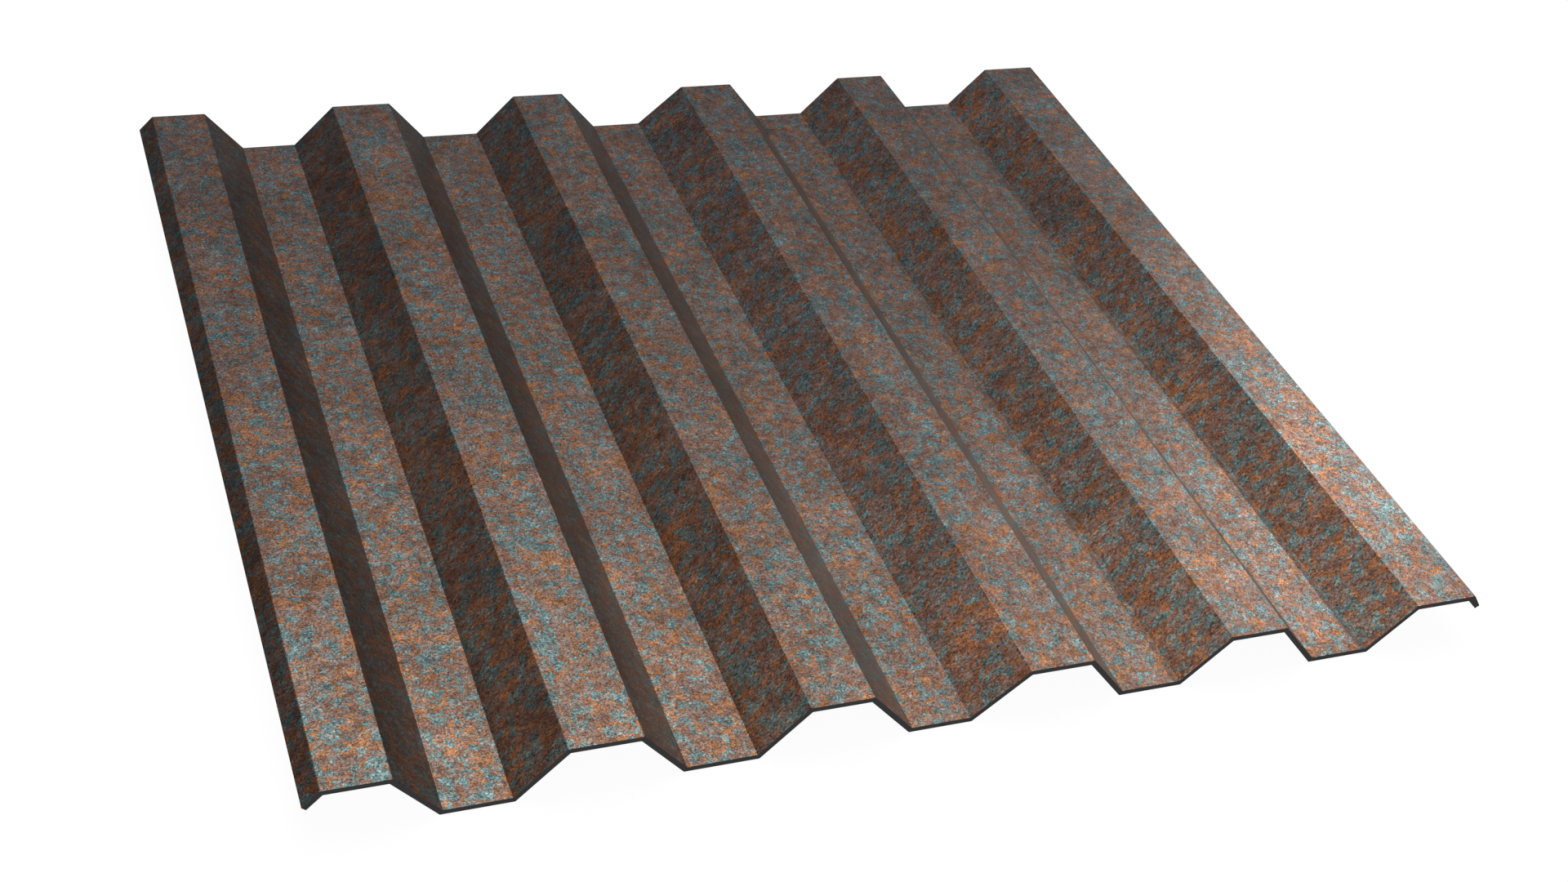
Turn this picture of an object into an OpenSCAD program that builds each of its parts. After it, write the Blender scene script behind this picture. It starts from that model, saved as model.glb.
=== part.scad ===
// Trapezoidal corrugated sheet: one steel plate rolled into flat crests and troughs that
// sloping webs join, with a short lip turned down along each side. Both ends are cut square.
// X runs across the waves, Y along them and Z up. The origin is on the floor, under the
// middle of the sheet. Widths across the sheet are measured on its upper face.

/* [Sheet] */
// Length along the waves
sheet_l = 980; // [200:10:6000]
// Thickness of the plate
sheet_t = 5; // [0.5:0.5:8]
// Number of crests
crest_count = 6; // [2:1:12]

/* [Waves] */
// Width of a crest's flat top, before its unevenness
crest_w = 59.5; // [30:0.5:120]
// Width of a trough's flat floor, before its unevenness
trough_w = 58; // [30:0.5:120]
// Width that a web covers, before its unevenness
web_w = 41; // [15:0.5:80]
// Rise from the trough floors to the crest tops
wave_h = 46; // [15:1:80]

/* [Folds] */
// Radius on the outside of a fold
fold_outer_r = 1.5; // [0.5:0.1:6]
// Radius on the inside of a fold
fold_inner_r = 0.8; // [0.5:0.1:6]

/* [Side lips] */
// Width that the left lip covers
left_lip_w = 14; // [8:0.5:25]
// Drop of the left lip below the crest tops
left_lip_drop = 15.5; // [8:0.5:25]
// Width that the right lip covers
right_lip_w = 10; // [8:0.5:25]
// Drop of the right lip below the crest tops
right_lip_drop = 13.5; // [8:0.5:25]

/* [Hidden] */

// Widths of the uneven flats and webs, from the left, as shares of the nominal ones.
// They start again where a sheet has more waves than shares.
crest_w_shares = [0.925, 1.055, 0.965, 1.03, 0.965, 1.075];
trough_w_shares = [0.97, 1.06, 0.95, 0.995, 1.015];
falling_web_shares = [0.985, 0.99, 1.025, 0.965, 1.01];
rising_web_shares = [1.02, 0.985, 1.17, 1.005, 1];

// Straight steps that draw the arc of one fold
fold_steps = 5;

rust = [0.42, 0.33, 0.29];

// Widths and heights along the section

function share(shares, i) = shares[i % len(shares)];

// A wave falls from its crest to a trough and rises to the next crest
function wave_widths(i) = [
    crest_w * share(crest_w_shares, i),
    web_w * share(falling_web_shares, i),
    trough_w * share(trough_w_shares, i),
    web_w * share(rising_web_shares, i),
];

wave_count = crest_count - 1;

section_widths = [
    left_lip_w,
    for (i = [0 : wave_count - 1]) each wave_widths(i),
    crest_w * share(crest_w_shares, wave_count),
    right_lip_w,
];

section_heights = [
    wave_h - left_lip_drop,
    for (i = [0 : wave_count - 1]) each [wave_h, wave_h, 0, 0],
    wave_h,
    wave_h,
    wave_h - right_lip_drop,
];

function sum_before(list, i) = i == 0 ? 0 : list[i - 1] + sum_before(list, i - 1);

section_w = sum_before(section_widths, len(section_widths));

// Corners of the upper face, sharp, from the left lip's edge to the right lip's
upper_corners = [
    for (i = [0 : len(section_heights) - 1])
        [sum_before(section_widths, i) - section_w / 2, section_heights[i] + sheet_t]
];

// Folds

last = len(upper_corners) - 1;

function unit(v) = v / norm(v);
function heading(i) = unit(upper_corners[i + 1] - upper_corners[i]);
function bearing(h) = atan2(h.y, h.x);
function below(h) = [h.y, -h.x];

// Angle that the plate turns through at a fold: positive where it turns upwards
function turn(i) = bearing(heading(i)) - bearing(heading(i - 1));

// Corner of the lower face, on the mitre under a corner of the upper face
function lower_corner(i) =
    i == 0 ? upper_corners[i] + sheet_t * below(heading(i)) :
    i == last ? upper_corners[i] + sheet_t * below(heading(i - 1)) :
    upper_corners[i] + sheet_t * (below(heading(i - 1)) + below(heading(i)))
        / (1 + heading(i - 1) * heading(i));

// Arc of radius r that rounds the sharp corner p of fold i
function fold_arc(p, i, r) =
    let (
        from = heading(i - 1),
        side = sign(turn(i)),
        start = p - from * r * tan(abs(turn(i)) / 2),
        centre = start - side * r * below(from)
    )
    [for (k = [0 : fold_steps])
        let (a = bearing(from) + turn(i) * k / fold_steps)
        centre + side * r * below([cos(a), sin(a)])];

// Upper and lower faces with their folds rounded: the outside of a fold is on the upper
// face where the plate turns downwards
upper_face = [
    upper_corners[0],
    for (i = [1 : last - 1])
        each fold_arc(upper_corners[i], i, turn(i) < 0 ? fold_outer_r : fold_inner_r),
    upper_corners[last],
];

lower_face = [
    lower_corner(0),
    for (i = [1 : last - 1])
        each fold_arc(lower_corner(i), i, turn(i) < 0 ? fold_inner_r : fold_outer_r),
    lower_corner(last),
];

function reversed(list) = [for (i = [len(list) - 1 : -1 : 0]) list[i]];

module section() {
    polygon(concat(upper_face, reversed(lower_face)));
}

module sheet() {
    color(rust)
        rotate([90, 0, 0])
            linear_extrude(sheet_l, center = true)
                section();
}

sheet();
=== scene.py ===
# Dresses the corrugated sheet: the rolled plate with its cut edges, the rust that covers it, the
# pale floor, the lamps and the camera. Lengths are in metres unless a name says otherwise.
import math

import bpy
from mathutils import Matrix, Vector


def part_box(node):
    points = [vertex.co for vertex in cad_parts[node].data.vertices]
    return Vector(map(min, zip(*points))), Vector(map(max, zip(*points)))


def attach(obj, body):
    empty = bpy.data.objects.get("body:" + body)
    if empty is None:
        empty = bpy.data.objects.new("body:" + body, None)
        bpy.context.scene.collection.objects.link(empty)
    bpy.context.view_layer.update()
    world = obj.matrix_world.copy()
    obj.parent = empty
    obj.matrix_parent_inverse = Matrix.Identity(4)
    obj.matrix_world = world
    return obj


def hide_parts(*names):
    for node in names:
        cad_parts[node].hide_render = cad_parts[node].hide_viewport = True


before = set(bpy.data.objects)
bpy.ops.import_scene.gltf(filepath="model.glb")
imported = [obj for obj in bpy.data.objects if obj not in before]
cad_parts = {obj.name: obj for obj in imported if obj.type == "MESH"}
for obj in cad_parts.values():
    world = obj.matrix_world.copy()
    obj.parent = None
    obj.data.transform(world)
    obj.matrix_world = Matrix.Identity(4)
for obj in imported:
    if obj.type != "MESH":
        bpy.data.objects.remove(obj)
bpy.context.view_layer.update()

MM = 0.001

# Rolled section, on the upper face of the plate
PLATE_THICKNESS = 5 * MM
CREST_WIDTH = 59.5 * MM
TROUGH_WIDTH = 58 * MM
WEB_WIDTH = 41 * MM
WAVE_HEIGHT = 46 * MM
LEFT_LIP_WIDTH = 14 * MM
LEFT_LIP_DROP = 15.5 * MM
RIGHT_LIP_WIDTH = 10 * MM
RIGHT_LIP_DROP = 13.5 * MM
OUTSIDE_FOLD_RADIUS = 1.5 * MM
INSIDE_FOLD_RADIUS = 0.8 * MM

# Uneven flats and webs, from the left, as shares of the widths above
CREST_SHARES = (0.925, 1.055, 0.965, 1.03, 0.965, 1.075)
TROUGH_SHARES = (0.97, 1.06, 0.95, 0.995, 1.015)
FALLING_WEB_SHARES = (0.985, 0.99, 1.025, 0.965, 1.01)
RISING_WEB_SHARES = (1.02, 0.985, 1.17, 1.005, 1.0)

# Fineness of the mesh, and the small bevel round the cut edges
FOLD_STEPS = 7
STEPS_ALONG = 25
EDGE_BEVEL = 0.3 * MM
EDGE_BEVEL_STEPS = 2
EDGE_SHARPER_THAN_DEGREES = 60

# Camera, found from the folds and corners of the sheet in the photograph
CAMERA_PLACE = (-0.72936, -1.55856, 1.28510)
CAMERA_TURN_DEGREES = (51.276, -8.009, -20.021)
CAMERA_LENS_MM = 48.477
CAMERA_SENSOR_MM = 36

# Lamps: bearing from +Y towards +X, height above the floor and softness are in degrees
LAMPS = {
    "overhead_lamp": {
        "bearing": 26, "height": 67.5, "strength": 1.27, "softness": 47, "tint": (0.97, 0.965, 0.91),
    },
    "right_lamp": {
        "bearing": 44.4, "height": 34.1, "strength": 0.122, "softness": 1.4, "tint": (1.0, 0.97, 0.95),
    },
    "low_lamp": {
        "bearing": 56, "height": 24, "strength": 0.22, "softness": 24, "tint": (1.0, 0.93, 0.88),
    },
    "front_lamp": {
        "bearing": 200, "height": 32, "strength": 0.48, "softness": 70, "tint": (1.0, 0.96, 0.9),
    },
    "left_lamp": {
        "bearing": -60, "height": 26.6, "strength": 0.245, "softness": 27, "tint": (1.0, 0.83, 0.68),
    },
}

# Room: its dim light grows from nothing to full between two heights above the horizon
ROOM_TINT = (0.8, 0.82, 0.99, 1.0)
ROOM_STRENGTH = 0.325
HORIZON_DEGREES = (4, 22)
UPWARD = (0.0, 0.0, 1.0)

# White background: the floor's own grey, its glow for the camera and the share that metal mirrors
WHITE = (1.0, 1.0, 1.0, 1.0)
FLOOR_SIZE = 120
FLOOR_DROP = 0.2 * MM
FLOOR_GREY = 0.07
FLOOR_GLOW = 0.96
MIRRORED_SHARE = 0.06

# Rust: its colours
BROWN_RUST = (0.217, 0.1175, 0.084, 1.0)
GREY_RUST = (0.1575, 0.1285, 0.113, 1.0)
ORANGE_BLOOM = (0.2735, 0.126, 0.061, 1.0)
GREEN_SCALE = (0.114, 0.168, 0.167, 1.0)

# Rust: its patterns, drawn out up and down the webs
WEB_STRETCH = (1.0, 1.0, 0.3)
RUST_PATTERNS = {
    "cluster": {"spot": 28 * MM, "seed": 1.0, "detail": 2.0},
    "stain": {"spot": 60 * MM, "seed": 5.0, "detail": 4.0, "roughness": 0.8},
    "grain": {"spot": 1.9 * MM, "seed": 2.0, "detail": 1.0, "roughness": 0.6},
    "fine_grain": {"spot": 1.2 * MM, "seed": 7.0, "detail": 0.0},
    "bloom": {"spot": 10 * MM, "seed": 3.0, "detail": 4.0, "roughness": 0.62, "distortion": 0.5},
    "scale": {"spot": 10 * MM, "seed": 4.0, "detail": 4.0, "roughness": 0.66, "distortion": 0.5},
    "mottle": {"spot": 9 * MM, "seed": 8.0, "detail": 3.0, "roughness": 0.6},
    "crease": {"spot": 3.5 * MM, "seed": 9.0, "detail": 1.0, "distortion": 0.5},
}
PATTERN_MIDDLE = 0.5

# Rust: how far from a crease its dark line, painted shade in the crease, begins to fade and is gone
CREASE_LINE_STEP = (0.008, 0.05)

# Rust: where one colour gives way to the next, and how other patterns move that border
GREY_STEP = (0.4, 0.62)
BLOOM_STEP = (0.5, 0.585)
BLOOM_MOVED_BY = {"cluster": 0.25, "grain": 0.15}
SCALE_STEP = (0.504, 0.566)
SCALE_MOVED_BY = {"cluster": -0.15, "grain": 0.18}

# Rust: brightness, which a swing of 1 doubles. The scale swings further than the rest.
DOUBLING = 2.0
SWINGS = {"grain": 2.4, "fine_grain": 1.6, "mottle": 2.5, "stain": 2.4}
SCALE_GRAIN_SWING = 1.3
SCALE_SWING = 0.9
SCALE_SWING_MIDDLE = 0.56
RUST_BRIGHTNESS = 1.07
# The dark line along each crease is painted shade: the colour is darkened there, on top of the crease's
# relief
CREASE_PAINTED_SHADE = 0.57

# Rust: relief and sheen
FINE_GRAIN_HEIGHT = 0.4
CREASE_DEPTH = 0.4
RUST_RELIEF = {"Strength": 0.18, "Distance": 0.7 * MM}
RUST_METALLIC = 0.9
RUST_ROUGHNESS = 0.298
SCALE_POLISH = 0.02

# Cut edges: dark bare steel with fine upright marks
CUT_STEEL = (0.15, 0.152, 0.152, 1.0)
CUT_STEEL_WORN = (0.185, 0.186, 0.184, 1.0)
CUT_STRETCH = (1.0, 1.0, 0.25)
CUT_MARKS = {"spot": 1.2 * MM, "seed": 6.0, "detail": 2.0}
CUT_RELIEF = {"Strength": 0.3, "Distance": 0.2 * MM}
CUT_METALLIC = 0.4
CUT_ROUGHNESS = 0.4
CUT_MARK_ROUGHNESS = 0.2

# Sockets of a Mix node that mixes colours
MIX_SHARE = 0
MIX_FIRST = 6
MIX_SECOND = 7
MIXED_COLOUR = 2


class Wire:
    """One socket of a node tree. Arithmetic on wires adds Math nodes to that tree."""

    def __init__(self, tree, socket=None):
        self.tree = tree
        self.socket = socket

    def node(self, kind, settings=None, sockets=None, output=0):
        """Adds a node, sets it up, feeds its sockets and returns one of its outputs."""
        made = self.tree.nodes.new(kind)
        for name, value in (settings or {}).items():
            setattr(made, name, value)
        self.feed(made, sockets or {})
        return Wire(self.tree, made.outputs[output])

    def feed(self, made, sockets):
        """Links wires to the sockets of a node and sets plain values on the others."""
        for key, value in sockets.items():
            if isinstance(value, Wire):
                self.tree.links.new(value.socket, made.inputs[key])
            else:
                made.inputs[key].default_value = value

    def math(self, operation, first, second=0.0):
        return self.node("ShaderNodeMath", {"operation": operation}, {0: first, 1: second})

    def __add__(self, other):
        return self.math("ADD", self, other)

    def __radd__(self, other):
        return self.math("ADD", other, self)

    def __sub__(self, other):
        return self.math("SUBTRACT", self, other)

    def __rsub__(self, other):
        return self.math("SUBTRACT", other, self)

    def __mul__(self, other):
        return self.math("MULTIPLY", self, other)

    def __rmul__(self, other):
        return self.math("MULTIPLY", other, self)

    def __truediv__(self, other):
        return self.math("DIVIDE", self, other)

    def __rtruediv__(self, other):
        return self.math("DIVIDE", other, self)

    def __gt__(self, other):
        return self.math("GREATER_THAN", self, other)

    def vector(self, operation, first, second=(0.0, 0.0, 0.0), output=0):
        return self.node("ShaderNodeVectorMath", {"operation": operation}, {0: first, 1: second}, output)

    def scaled(self, vector, factor):
        return self.node("ShaderNodeVectorMath", {"operation": "SCALE"}, {0: vector, "Scale": factor})

    def dot(self, first, second):
        return self.vector("DOT_PRODUCT", first, second, output="Value")

    def blend(self, share, first, second):
        """A colour between first and second."""
        sockets = {MIX_SHARE: share, MIX_FIRST: first, MIX_SECOND: second}
        return self.node("ShaderNodeMix", {"data_type": "RGBA"}, sockets, MIXED_COLOUR)

    def shaded(self, colour, brightness):
        """A colour made darker or brighter by a value."""
        settings = {"data_type": "RGBA", "blend_type": "MULTIPLY"}
        sockets = {MIX_SHARE: 1.0, MIX_FIRST: colour, MIX_SECOND: brightness}
        return self.node("ShaderNodeMix", settings, sockets, MIXED_COLOUR)

    def rise(self, value, step):
        """0 below the step's low end, 1 above its high end and smooth between them."""
        low, high = step
        settings = {"interpolation_type": "SMOOTHSTEP"}
        sockets = {"Value": value, "From Min": low, "From Max": high}
        return self.node("ShaderNodeMapRange", settings, sockets)

    def noise(self, place, spot, seed, detail, roughness=0.5, distortion=0.0):
        """Noise whose spots are about that wide, from 0 to 1."""
        sockets = {
            "Vector": place,
            "W": seed,
            "Scale": 1 / spot,
            "Detail": detail,
            "Roughness": roughness,
            "Distortion": distortion,
        }
        return self.node("ShaderNodeTexNoise", {"noise_dimensions": "4D"}, sockets)


def new_object(name, data):
    """An object made of that data, in the scene."""
    made = bpy.data.objects.new(name, data)
    bpy.context.scene.collection.objects.link(made)
    return made


# Rolled plate

def fold_line():
    """Sharp corners of the upper face, from the left lip's edge to the right lip's."""
    low = PLATE_THICKNESS
    high = PLATE_THICKNESS + WAVE_HEIGHT
    runs = [(LEFT_LIP_WIDTH, high)]
    for wave, trough_share in enumerate(TROUGH_SHARES):
        runs += [
            (CREST_WIDTH * CREST_SHARES[wave], high),
            (WEB_WIDTH * FALLING_WEB_SHARES[wave], low),
            (TROUGH_WIDTH * trough_share, low),
            (WEB_WIDTH * RISING_WEB_SHARES[wave], high),
        ]
    runs += [(CREST_WIDTH * CREST_SHARES[-1], high), (RIGHT_LIP_WIDTH, high - RIGHT_LIP_DROP)]
    across = -sum(width for width, _ in runs) / 2
    corners = [(across, 0.0, high - LEFT_LIP_DROP)]
    for width, height in runs:
        across += width
        corners.append((across, 0.0, height))
    return corners


def line_object(name, corners):
    """An object that is only a line of edges through the corners."""
    mesh = bpy.data.meshes.new(name)
    mesh.from_pydata(corners, [(i, i + 1) for i in range(len(corners) - 1)], [])
    return new_object(name, mesh)


SHEET_INPUTS = {
    "Fold line": "NodeSocketGeometry",
    "Thickness": "NodeSocketFloat",
    "Outside radius": "NodeSocketFloat",
    "Inside radius": "NodeSocketFloat",
    "Steps in a fold": "NodeSocketInt",
    "Front": "NodeSocketFloat",
    "Back": "NodeSocketFloat",
    "Steps along": "NodeSocketInt",
    "Face finish": "NodeSocketMaterial",
    "Cut finish": "NodeSocketMaterial",
}

# The fold line is drawn in the XZ plane. The lower face's points count down from a number that is
# larger than the upper face has points, and a cut face is told by its normal or by its stored lip end.
ACROSS_SECTION = (0.0, 1.0, 0.0)
LOWER_FACE_LAST = 100000
WHOLE_FACE = 0.99
FACING_ALONG = 0.5


def sheet_tree():
    """Rolls a plate along a fold line: thickness on the mitre, round folds, cut ends."""
    tree = bpy.data.node_groups.new("rolled_sheet", "GeometryNodeTree")
    for name, kind in SHEET_INPUTS.items():
        tree.interface.new_socket(name, in_out="INPUT", socket_type=kind)
    tree.interface.new_socket("Sheet", in_out="OUTPUT", socket_type="NodeSocketGeometry")
    given = tree.nodes.new("NodeGroupInput").outputs
    size = {name: Wire(tree, given[name]) for name in SHEET_INPUTS}
    wire = Wire(tree)

    # Heading of the plate before and after each corner
    upper = wire.node("GeometryNodeMeshToCurve", None, {"Mesh": size["Fold line"]})
    position = wire.node("GeometryNodeInputPosition")
    index = wire.node("GeometryNodeInputIndex")
    at_index = {"data_type": "FLOAT_VECTOR"}
    before = wire.node("GeometryNodeFieldAtIndex", at_index, {"Value": position, "Index": index - 1})
    after = wire.node("GeometryNodeFieldAtIndex", at_index, {"Value": position, "Index": index + 1})
    arriving = wire.vector("NORMALIZE", wire.vector("SUBTRACT", position, before))
    leaving = wire.vector("NORMALIZE", wire.vector("SUBTRACT", after, position))
    first = wire.node("GeometryNodeCurveEndpointSelection", None, {"Start Size": 1, "End Size": 0})
    last = wire.node("GeometryNodeCurveEndpointSelection", None, {"Start Size": 0, "End Size": 1})
    pick_heading = {"input_type": "VECTOR"}
    heading_in = wire.node("GeometryNodeSwitch", pick_heading, {0: first, 1: arriving, 2: leaving})
    heading_out = wire.node("GeometryNodeSwitch", pick_heading, {0: last, 1: leaving, 2: arriving})

    # Lower face, on the mitre under each corner
    below_in = wire.vector("CROSS_PRODUCT", ACROSS_SECTION, heading_in)
    below_out = wire.vector("CROSS_PRODUCT", ACROSS_SECTION, heading_out)
    mitre = size["Thickness"] / (1 + wire.dot(heading_in, heading_out))
    drop = wire.scaled(wire.vector("ADD", below_in, below_out), mitre)
    lower = wire.node("GeometryNodeSetPosition", None, {"Geometry": upper, "Offset": drop})

    # Round folds: the outside of a fold is on the upper face where the plate turns down
    turn = wire.vector("CROSS_PRODUCT", heading_in, heading_out)
    turns_down = wire.dot(turn, ACROSS_SECTION) > 0
    pick_radius = {"input_type": "FLOAT"}
    inside, outside = size["Inside radius"], size["Outside radius"]
    upper_radius = wire.node("GeometryNodeSwitch", pick_radius, {0: turns_down, 1: inside, 2: outside})
    lower_radius = wire.node("GeometryNodeSwitch", pick_radius, {0: turns_down, 1: outside, 2: inside})
    faces = []
    for face, face_radius in ((upper, upper_radius), (lower, lower_radius)):
        sockets = {"Curve": face, "Count": size["Steps in a fold"], "Radius": face_radius}
        faces.append(wire.node("GeometryNodeFilletCurve", {"mode": "POLY"}, sockets))
    upper, lower = faces

    # Closed outline: along the upper face and back along the lower one
    on_points = {"data_type": "FLOAT", "domain": "POINT"}
    points = []
    for face, place_in_line in ((upper, index), (lower, LOWER_FACE_LAST - index)):
        ends = wire.node("GeometryNodeCurveEndpointSelection", None, {"Start Size": 1, "End Size": 1})
        sockets = {"Geometry": face, "Name": "lip_end", "Value": ends}
        face = wire.node("GeometryNodeStoreNamedAttribute", on_points, sockets)
        sockets = {"Geometry": face, "Name": "place_in_line", "Value": place_in_line}
        face = wire.node("GeometryNodeStoreNamedAttribute", on_points, sockets)
        points.append(wire.node("GeometryNodeCurveToPoints", {"mode": "EVALUATED"}, {"Curve": face}))
    joined = wire.node("GeometryNodeJoinGeometry", None, {"Geometry": points[0]})
    tree.links.new(points[1].socket, joined.socket.node.inputs["Geometry"])
    weight = wire.node("GeometryNodeInputNamedAttribute", {"data_type": "FLOAT"}, {"Name": "place_in_line"})
    outline = wire.node("GeometryNodePointsToCurves", None, {"Points": joined, "Weight": weight})
    outline = wire.node("GeometryNodeSetSplineCyclic", None, {"Geometry": outline, "Cyclic": True})

    # Sweep along the sheet
    quarter_turn = (math.pi / 2, 0.0, 0.0)
    outline = wire.node("GeometryNodeTransform", None, {"Geometry": outline, "Rotation": quarter_turn})
    front = wire.node("ShaderNodeCombineXYZ", None, {"Y": size["Front"]})
    back = wire.node("ShaderNodeCombineXYZ", None, {"Y": size["Back"]})
    path = wire.node("GeometryNodeCurvePrimitiveLine", None, {"Start": front, "End": back})
    path = wire.node("GeometryNodeResampleCurve", None, {"Curve": path, "Count": size["Steps along"]})
    sockets = {"Curve": path, "Profile Curve": outline, "Fill Caps": True}
    plate = wire.node("GeometryNodeCurveToMesh", None, sockets)
    plate = wire.node("GeometryNodeSetShadeSmooth", None, {"Geometry": plate, "Shade Smooth": False})

    # Finishes: bare steel on the cut ends and on the edges of the lips
    normal = wire.node("GeometryNodeInputNormal")
    lip_end = wire.node("GeometryNodeInputNamedAttribute", {"data_type": "FLOAT"}, {"Name": "lip_end"})
    on_end = wire.math("ABSOLUTE", wire.dot(normal, ACROSS_SECTION)) > FACING_ALONG
    on_lip = lip_end > WHOLE_FACE
    cut = wire.math("MAXIMUM", on_end, on_lip)
    plate = wire.node("GeometryNodeRealizeInstances", None, {"Geometry": plate})
    sockets = {"Geometry": plate, "Material": size["Face finish"]}
    plate = wire.node("GeometryNodeSetMaterial", None, sockets)
    sockets = {"Geometry": plate, "Selection": cut, "Material": size["Cut finish"]}
    plate = wire.node("GeometryNodeSetMaterial", None, sockets)
    sheet = tree.nodes.new("NodeGroupOutput").inputs["Sheet"]
    tree.links.new(plate.socket, sheet)
    return tree


def rolled_sheet(face_finish, cut_finish):
    """The plate as one plain mesh, as long as the CAD sheet."""
    lowest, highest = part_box("sheet")
    source = line_object("fold_line", fold_line())
    roll = source.modifiers.new("roll", "NODES")
    roll.node_group = sheet_tree()
    values = {
        "Thickness": PLATE_THICKNESS,
        "Outside radius": OUTSIDE_FOLD_RADIUS,
        "Inside radius": INSIDE_FOLD_RADIUS,
        "Steps in a fold": FOLD_STEPS,
        "Front": lowest[1],
        "Back": highest[1],
        "Steps along": STEPS_ALONG,
        "Face finish": face_finish,
        "Cut finish": cut_finish,
    }
    for socket in roll.node_group.interface.items_tree:
        if socket.name in values:
            roll[socket.identifier] = values[socket.name]
    bevel = source.modifiers.new("cut_edges", "BEVEL")
    bevel.limit_method = "ANGLE"
    bevel.angle_limit = math.radians(EDGE_SHARPER_THAN_DEGREES)
    bevel.width = EDGE_BEVEL
    bevel.segments = EDGE_BEVEL_STEPS
    bevel.use_clamp_overlap = False
    evaluated = source.evaluated_get(bpy.context.evaluated_depsgraph_get())
    mesh = bpy.data.meshes.new_from_object(evaluated)
    bpy.data.objects.remove(source)
    return new_object("rolled_sheet", mesh)


# Finishes

def new_finish(name):
    """A plain material, the wire that adds nodes to it and its Principled shader."""
    material = bpy.data.materials.new(name)
    material.use_nodes = True
    tree = material.node_tree
    return material, Wire(tree), tree.nodes["Principled BSDF"]


def sum_of_swings(patterns, weights):
    """How far several patterns together are from their middle."""
    return sum(weight * (patterns[name] - PATTERN_MIDDLE) for name, weight in weights.items())


def rust_finish():
    """Brown and grey rust with orange bloom and grey-green mill scale, finely creased all over, with
    painted shade darkening the creases.
    """
    material, wire, shader = new_finish("rust")
    object_place = wire.node("ShaderNodeTexCoord", output="Object")
    place = wire.vector("MULTIPLY", object_place, WEB_STRETCH)
    patterns = {name: wire.noise(place, **look) for name, look in RUST_PATTERNS.items()}
    grain, scale = patterns["grain"], patterns["scale"]

    # Colours, one over the other
    bloom_share = wire.rise(patterns["bloom"] + sum_of_swings(patterns, BLOOM_MOVED_BY), BLOOM_STEP)
    scale_share = wire.rise(scale + sum_of_swings(patterns, SCALE_MOVED_BY), SCALE_STEP)
    colour = wire.blend(wire.rise(patterns["mottle"], GREY_STEP), BROWN_RUST, GREY_RUST)
    colour = wire.blend(bloom_share, colour, ORANGE_BLOOM)
    colour = wire.blend(scale_share, colour, GREEN_SCALE)

    # Brightness, with painted shade darkening the colour along the creases
    from_crease = wire.math("ABSOLUTE", patterns["crease"] - PATTERN_MIDDLE)
    crease_line = 1 - wire.rise(from_crease, CREASE_LINE_STEP)
    scale_swing = SCALE_GRAIN_SWING * (grain - PATTERN_MIDDLE) + SCALE_SWING * (scale - SCALE_SWING_MIDDLE)
    swing = sum_of_swings(patterns, SWINGS) + scale_share * scale_swing
    brightness = wire.math("POWER", DOUBLING, swing) * (RUST_BRIGHTNESS - CREASE_PAINTED_SHADE * crease_line)

    # Relief
    height = grain + FINE_GRAIN_HEIGHT * patterns["fine_grain"] - CREASE_DEPTH * crease_line
    relief = wire.node("ShaderNodeBump", None, {**RUST_RELIEF, "Height": height})
    wire.feed(shader, {
        "Base Color": wire.shaded(colour, brightness),
        "Metallic": RUST_METALLIC,
        "Roughness": RUST_ROUGHNESS - SCALE_POLISH * scale_share,
        "Normal": relief,
    })
    return material


def cut_finish():
    """Dark cut steel with fine marks."""
    material, wire, shader = new_finish("cut_steel")
    object_place = wire.node("ShaderNodeTexCoord", output="Object")
    place = wire.vector("MULTIPLY", object_place, CUT_STRETCH)
    marks = wire.noise(place, **CUT_MARKS)
    relief = wire.node("ShaderNodeBump", None, {**CUT_RELIEF, "Height": marks})
    wire.feed(shader, {
        "Base Color": wire.blend(marks, CUT_STEEL, CUT_STEEL_WORN),
        "Metallic": CUT_METALLIC,
        "Roughness": CUT_ROUGHNESS + CUT_MARK_ROUGHNESS * marks,
        "Normal": relief,
    })
    return material


# Floor, lamps and camera

def background_seen(wire):
    """What the camera sees, and the same with the share of it that metal and glass mirror."""
    path = wire.node("ShaderNodeLightPath").socket.node.outputs
    by_camera, by_metal, by_glass = (
        Wire(wire.tree, path[ray]) for ray in ("Is Camera Ray", "Is Glossy Ray", "Is Transmission Ray")
    )
    return by_camera, by_camera + MIRRORED_SHARE * wire.math("MAXIMUM", by_metal, by_glass)


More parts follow.
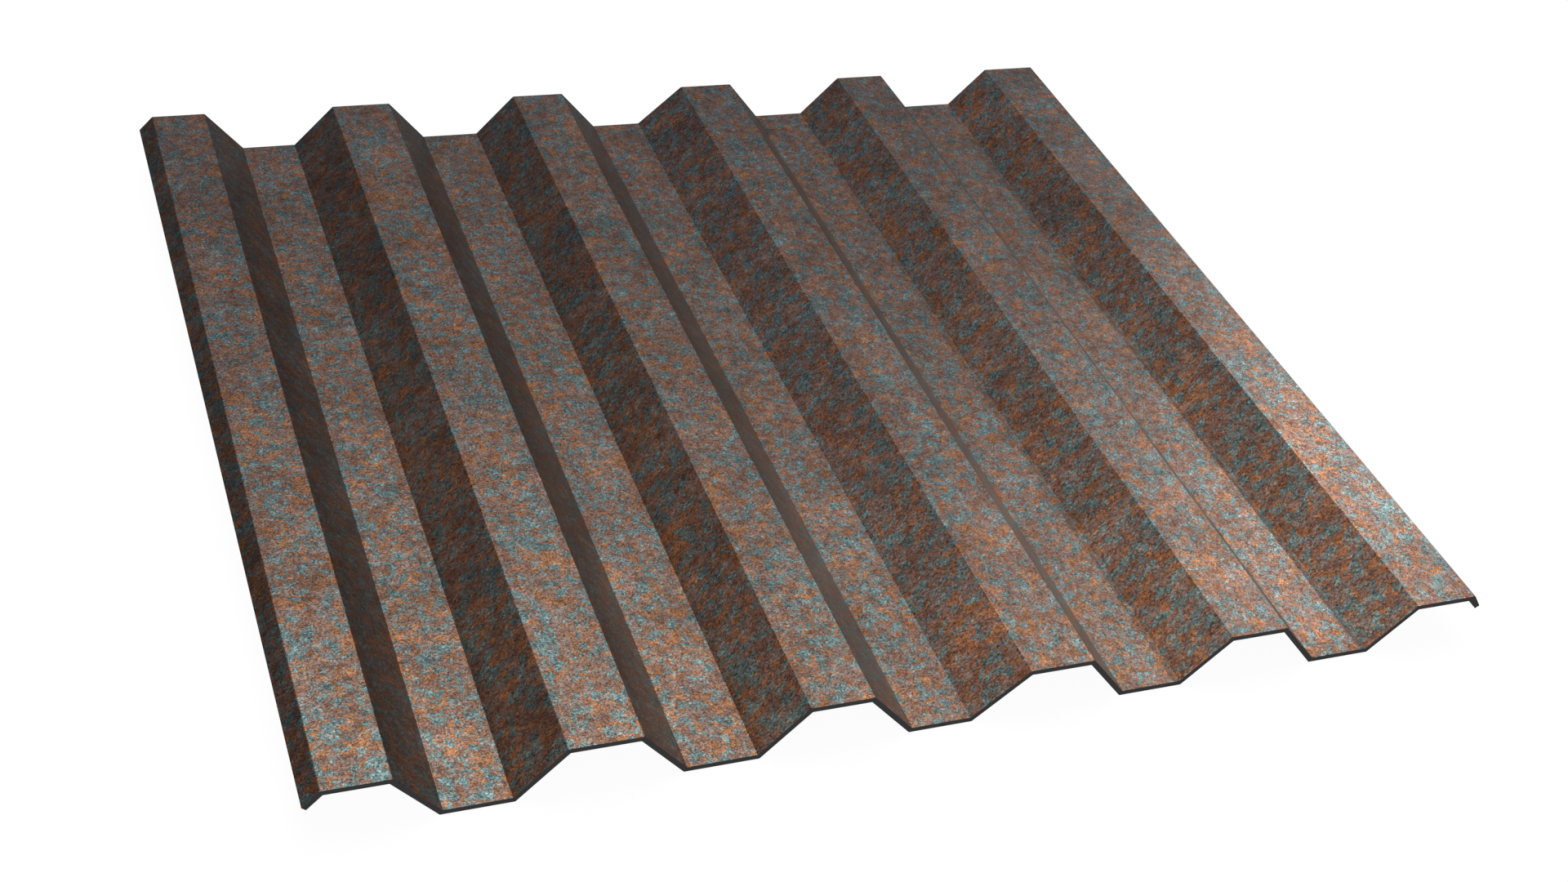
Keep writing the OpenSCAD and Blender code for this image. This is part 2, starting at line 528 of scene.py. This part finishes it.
def pale_floor():
    """A wide floor under the sheet that looks white to the camera and keeps the sheet's shadow."""
    material, wire, shader = new_finish("pale_floor")
    wire.tree.nodes.remove(shader)
    grey = (FLOOR_GREY, FLOOR_GREY, FLOOR_GREY, 1.0)
    matt = wire.node("ShaderNodeBsdfDiffuse", None, {"Color": grey})
    _, seen = background_seen(wire)
    glow = wire.node("ShaderNodeEmission", None, {"Strength": FLOOR_GLOW * seen})
    surface = wire.node("ShaderNodeAddShader", None, {0: matt, 1: glow})
    wire.feed(wire.tree.nodes["Material Output"], {"Surface": surface})
    lowest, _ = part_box("sheet")
    reach = FLOOR_SIZE / 2
    level = lowest[2] - FLOOR_DROP
    quarters = ((-1, -1), (1, -1), (1, 1), (-1, 1))
    mesh = bpy.data.meshes.new("floor")
    mesh.from_pydata([(x * reach, y * reach, level) for x, y in quarters], [], [(0, 1, 2, 3)])
    mesh.materials.append(material)
    return new_object("floor", mesh)


def studio_lamps():
    """Far lamps all round the sheet, each turned towards it."""
    for name, lamp in LAMPS.items():
        light = bpy.data.lights.new(name, "SUN")
        light.energy = lamp["strength"]
        light.color = lamp["tint"]
        light.angle = math.radians(lamp["softness"])
        bearing = math.radians(lamp["bearing"])
        height = math.radians(lamp["height"])
        along = math.cos(height)
        towards = Vector((math.sin(bearing) * along, math.cos(bearing) * along, math.sin(height)))
        new_object(name, light).rotation_euler = towards.to_track_quat("Z", "Y").to_euler()


def dim_room():
    """A room that is white to the camera and dark at its horizon to everything else."""
    room = bpy.data.worlds.new("room")
    room.use_nodes = True
    wire = Wire(room.node_tree)
    direction = wire.node("ShaderNodeTexCoord", output="Generated")
    horizon_step = [math.sin(math.radians(height)) for height in HORIZON_DEGREES]
    room_light = ROOM_STRENGTH * wire.rise(wire.dot(direction, UPWARD), horizon_step)
    by_camera, seen = background_seen(wire)
    wire.feed(room.node_tree.nodes["Background"], {
        "Color": wire.blend(by_camera, ROOM_TINT, WHITE),
        "Strength": wire.math("MAXIMUM", seen, room_light),
    })
    bpy.context.scene.world = room


def photo_camera():
    """The camera at the photograph's place."""
    data = bpy.data.cameras.new("camera")
    data.sensor_fit = "HORIZONTAL"
    data.sensor_width = CAMERA_SENSOR_MM
    data.lens = CAMERA_LENS_MM
    camera = new_object("camera", data)
    camera.location = CAMERA_PLACE
    camera.rotation_euler = [math.radians(turn) for turn in CAMERA_TURN_DEGREES]
    bpy.context.scene.camera = camera


bpy.context.scene.view_settings.view_transform = "Standard"
sheet = rolled_sheet(rust_finish(), cut_finish())
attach(sheet, "root")
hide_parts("sheet")
pale_floor()
studio_lamps()
dim_room()
photo_camera()
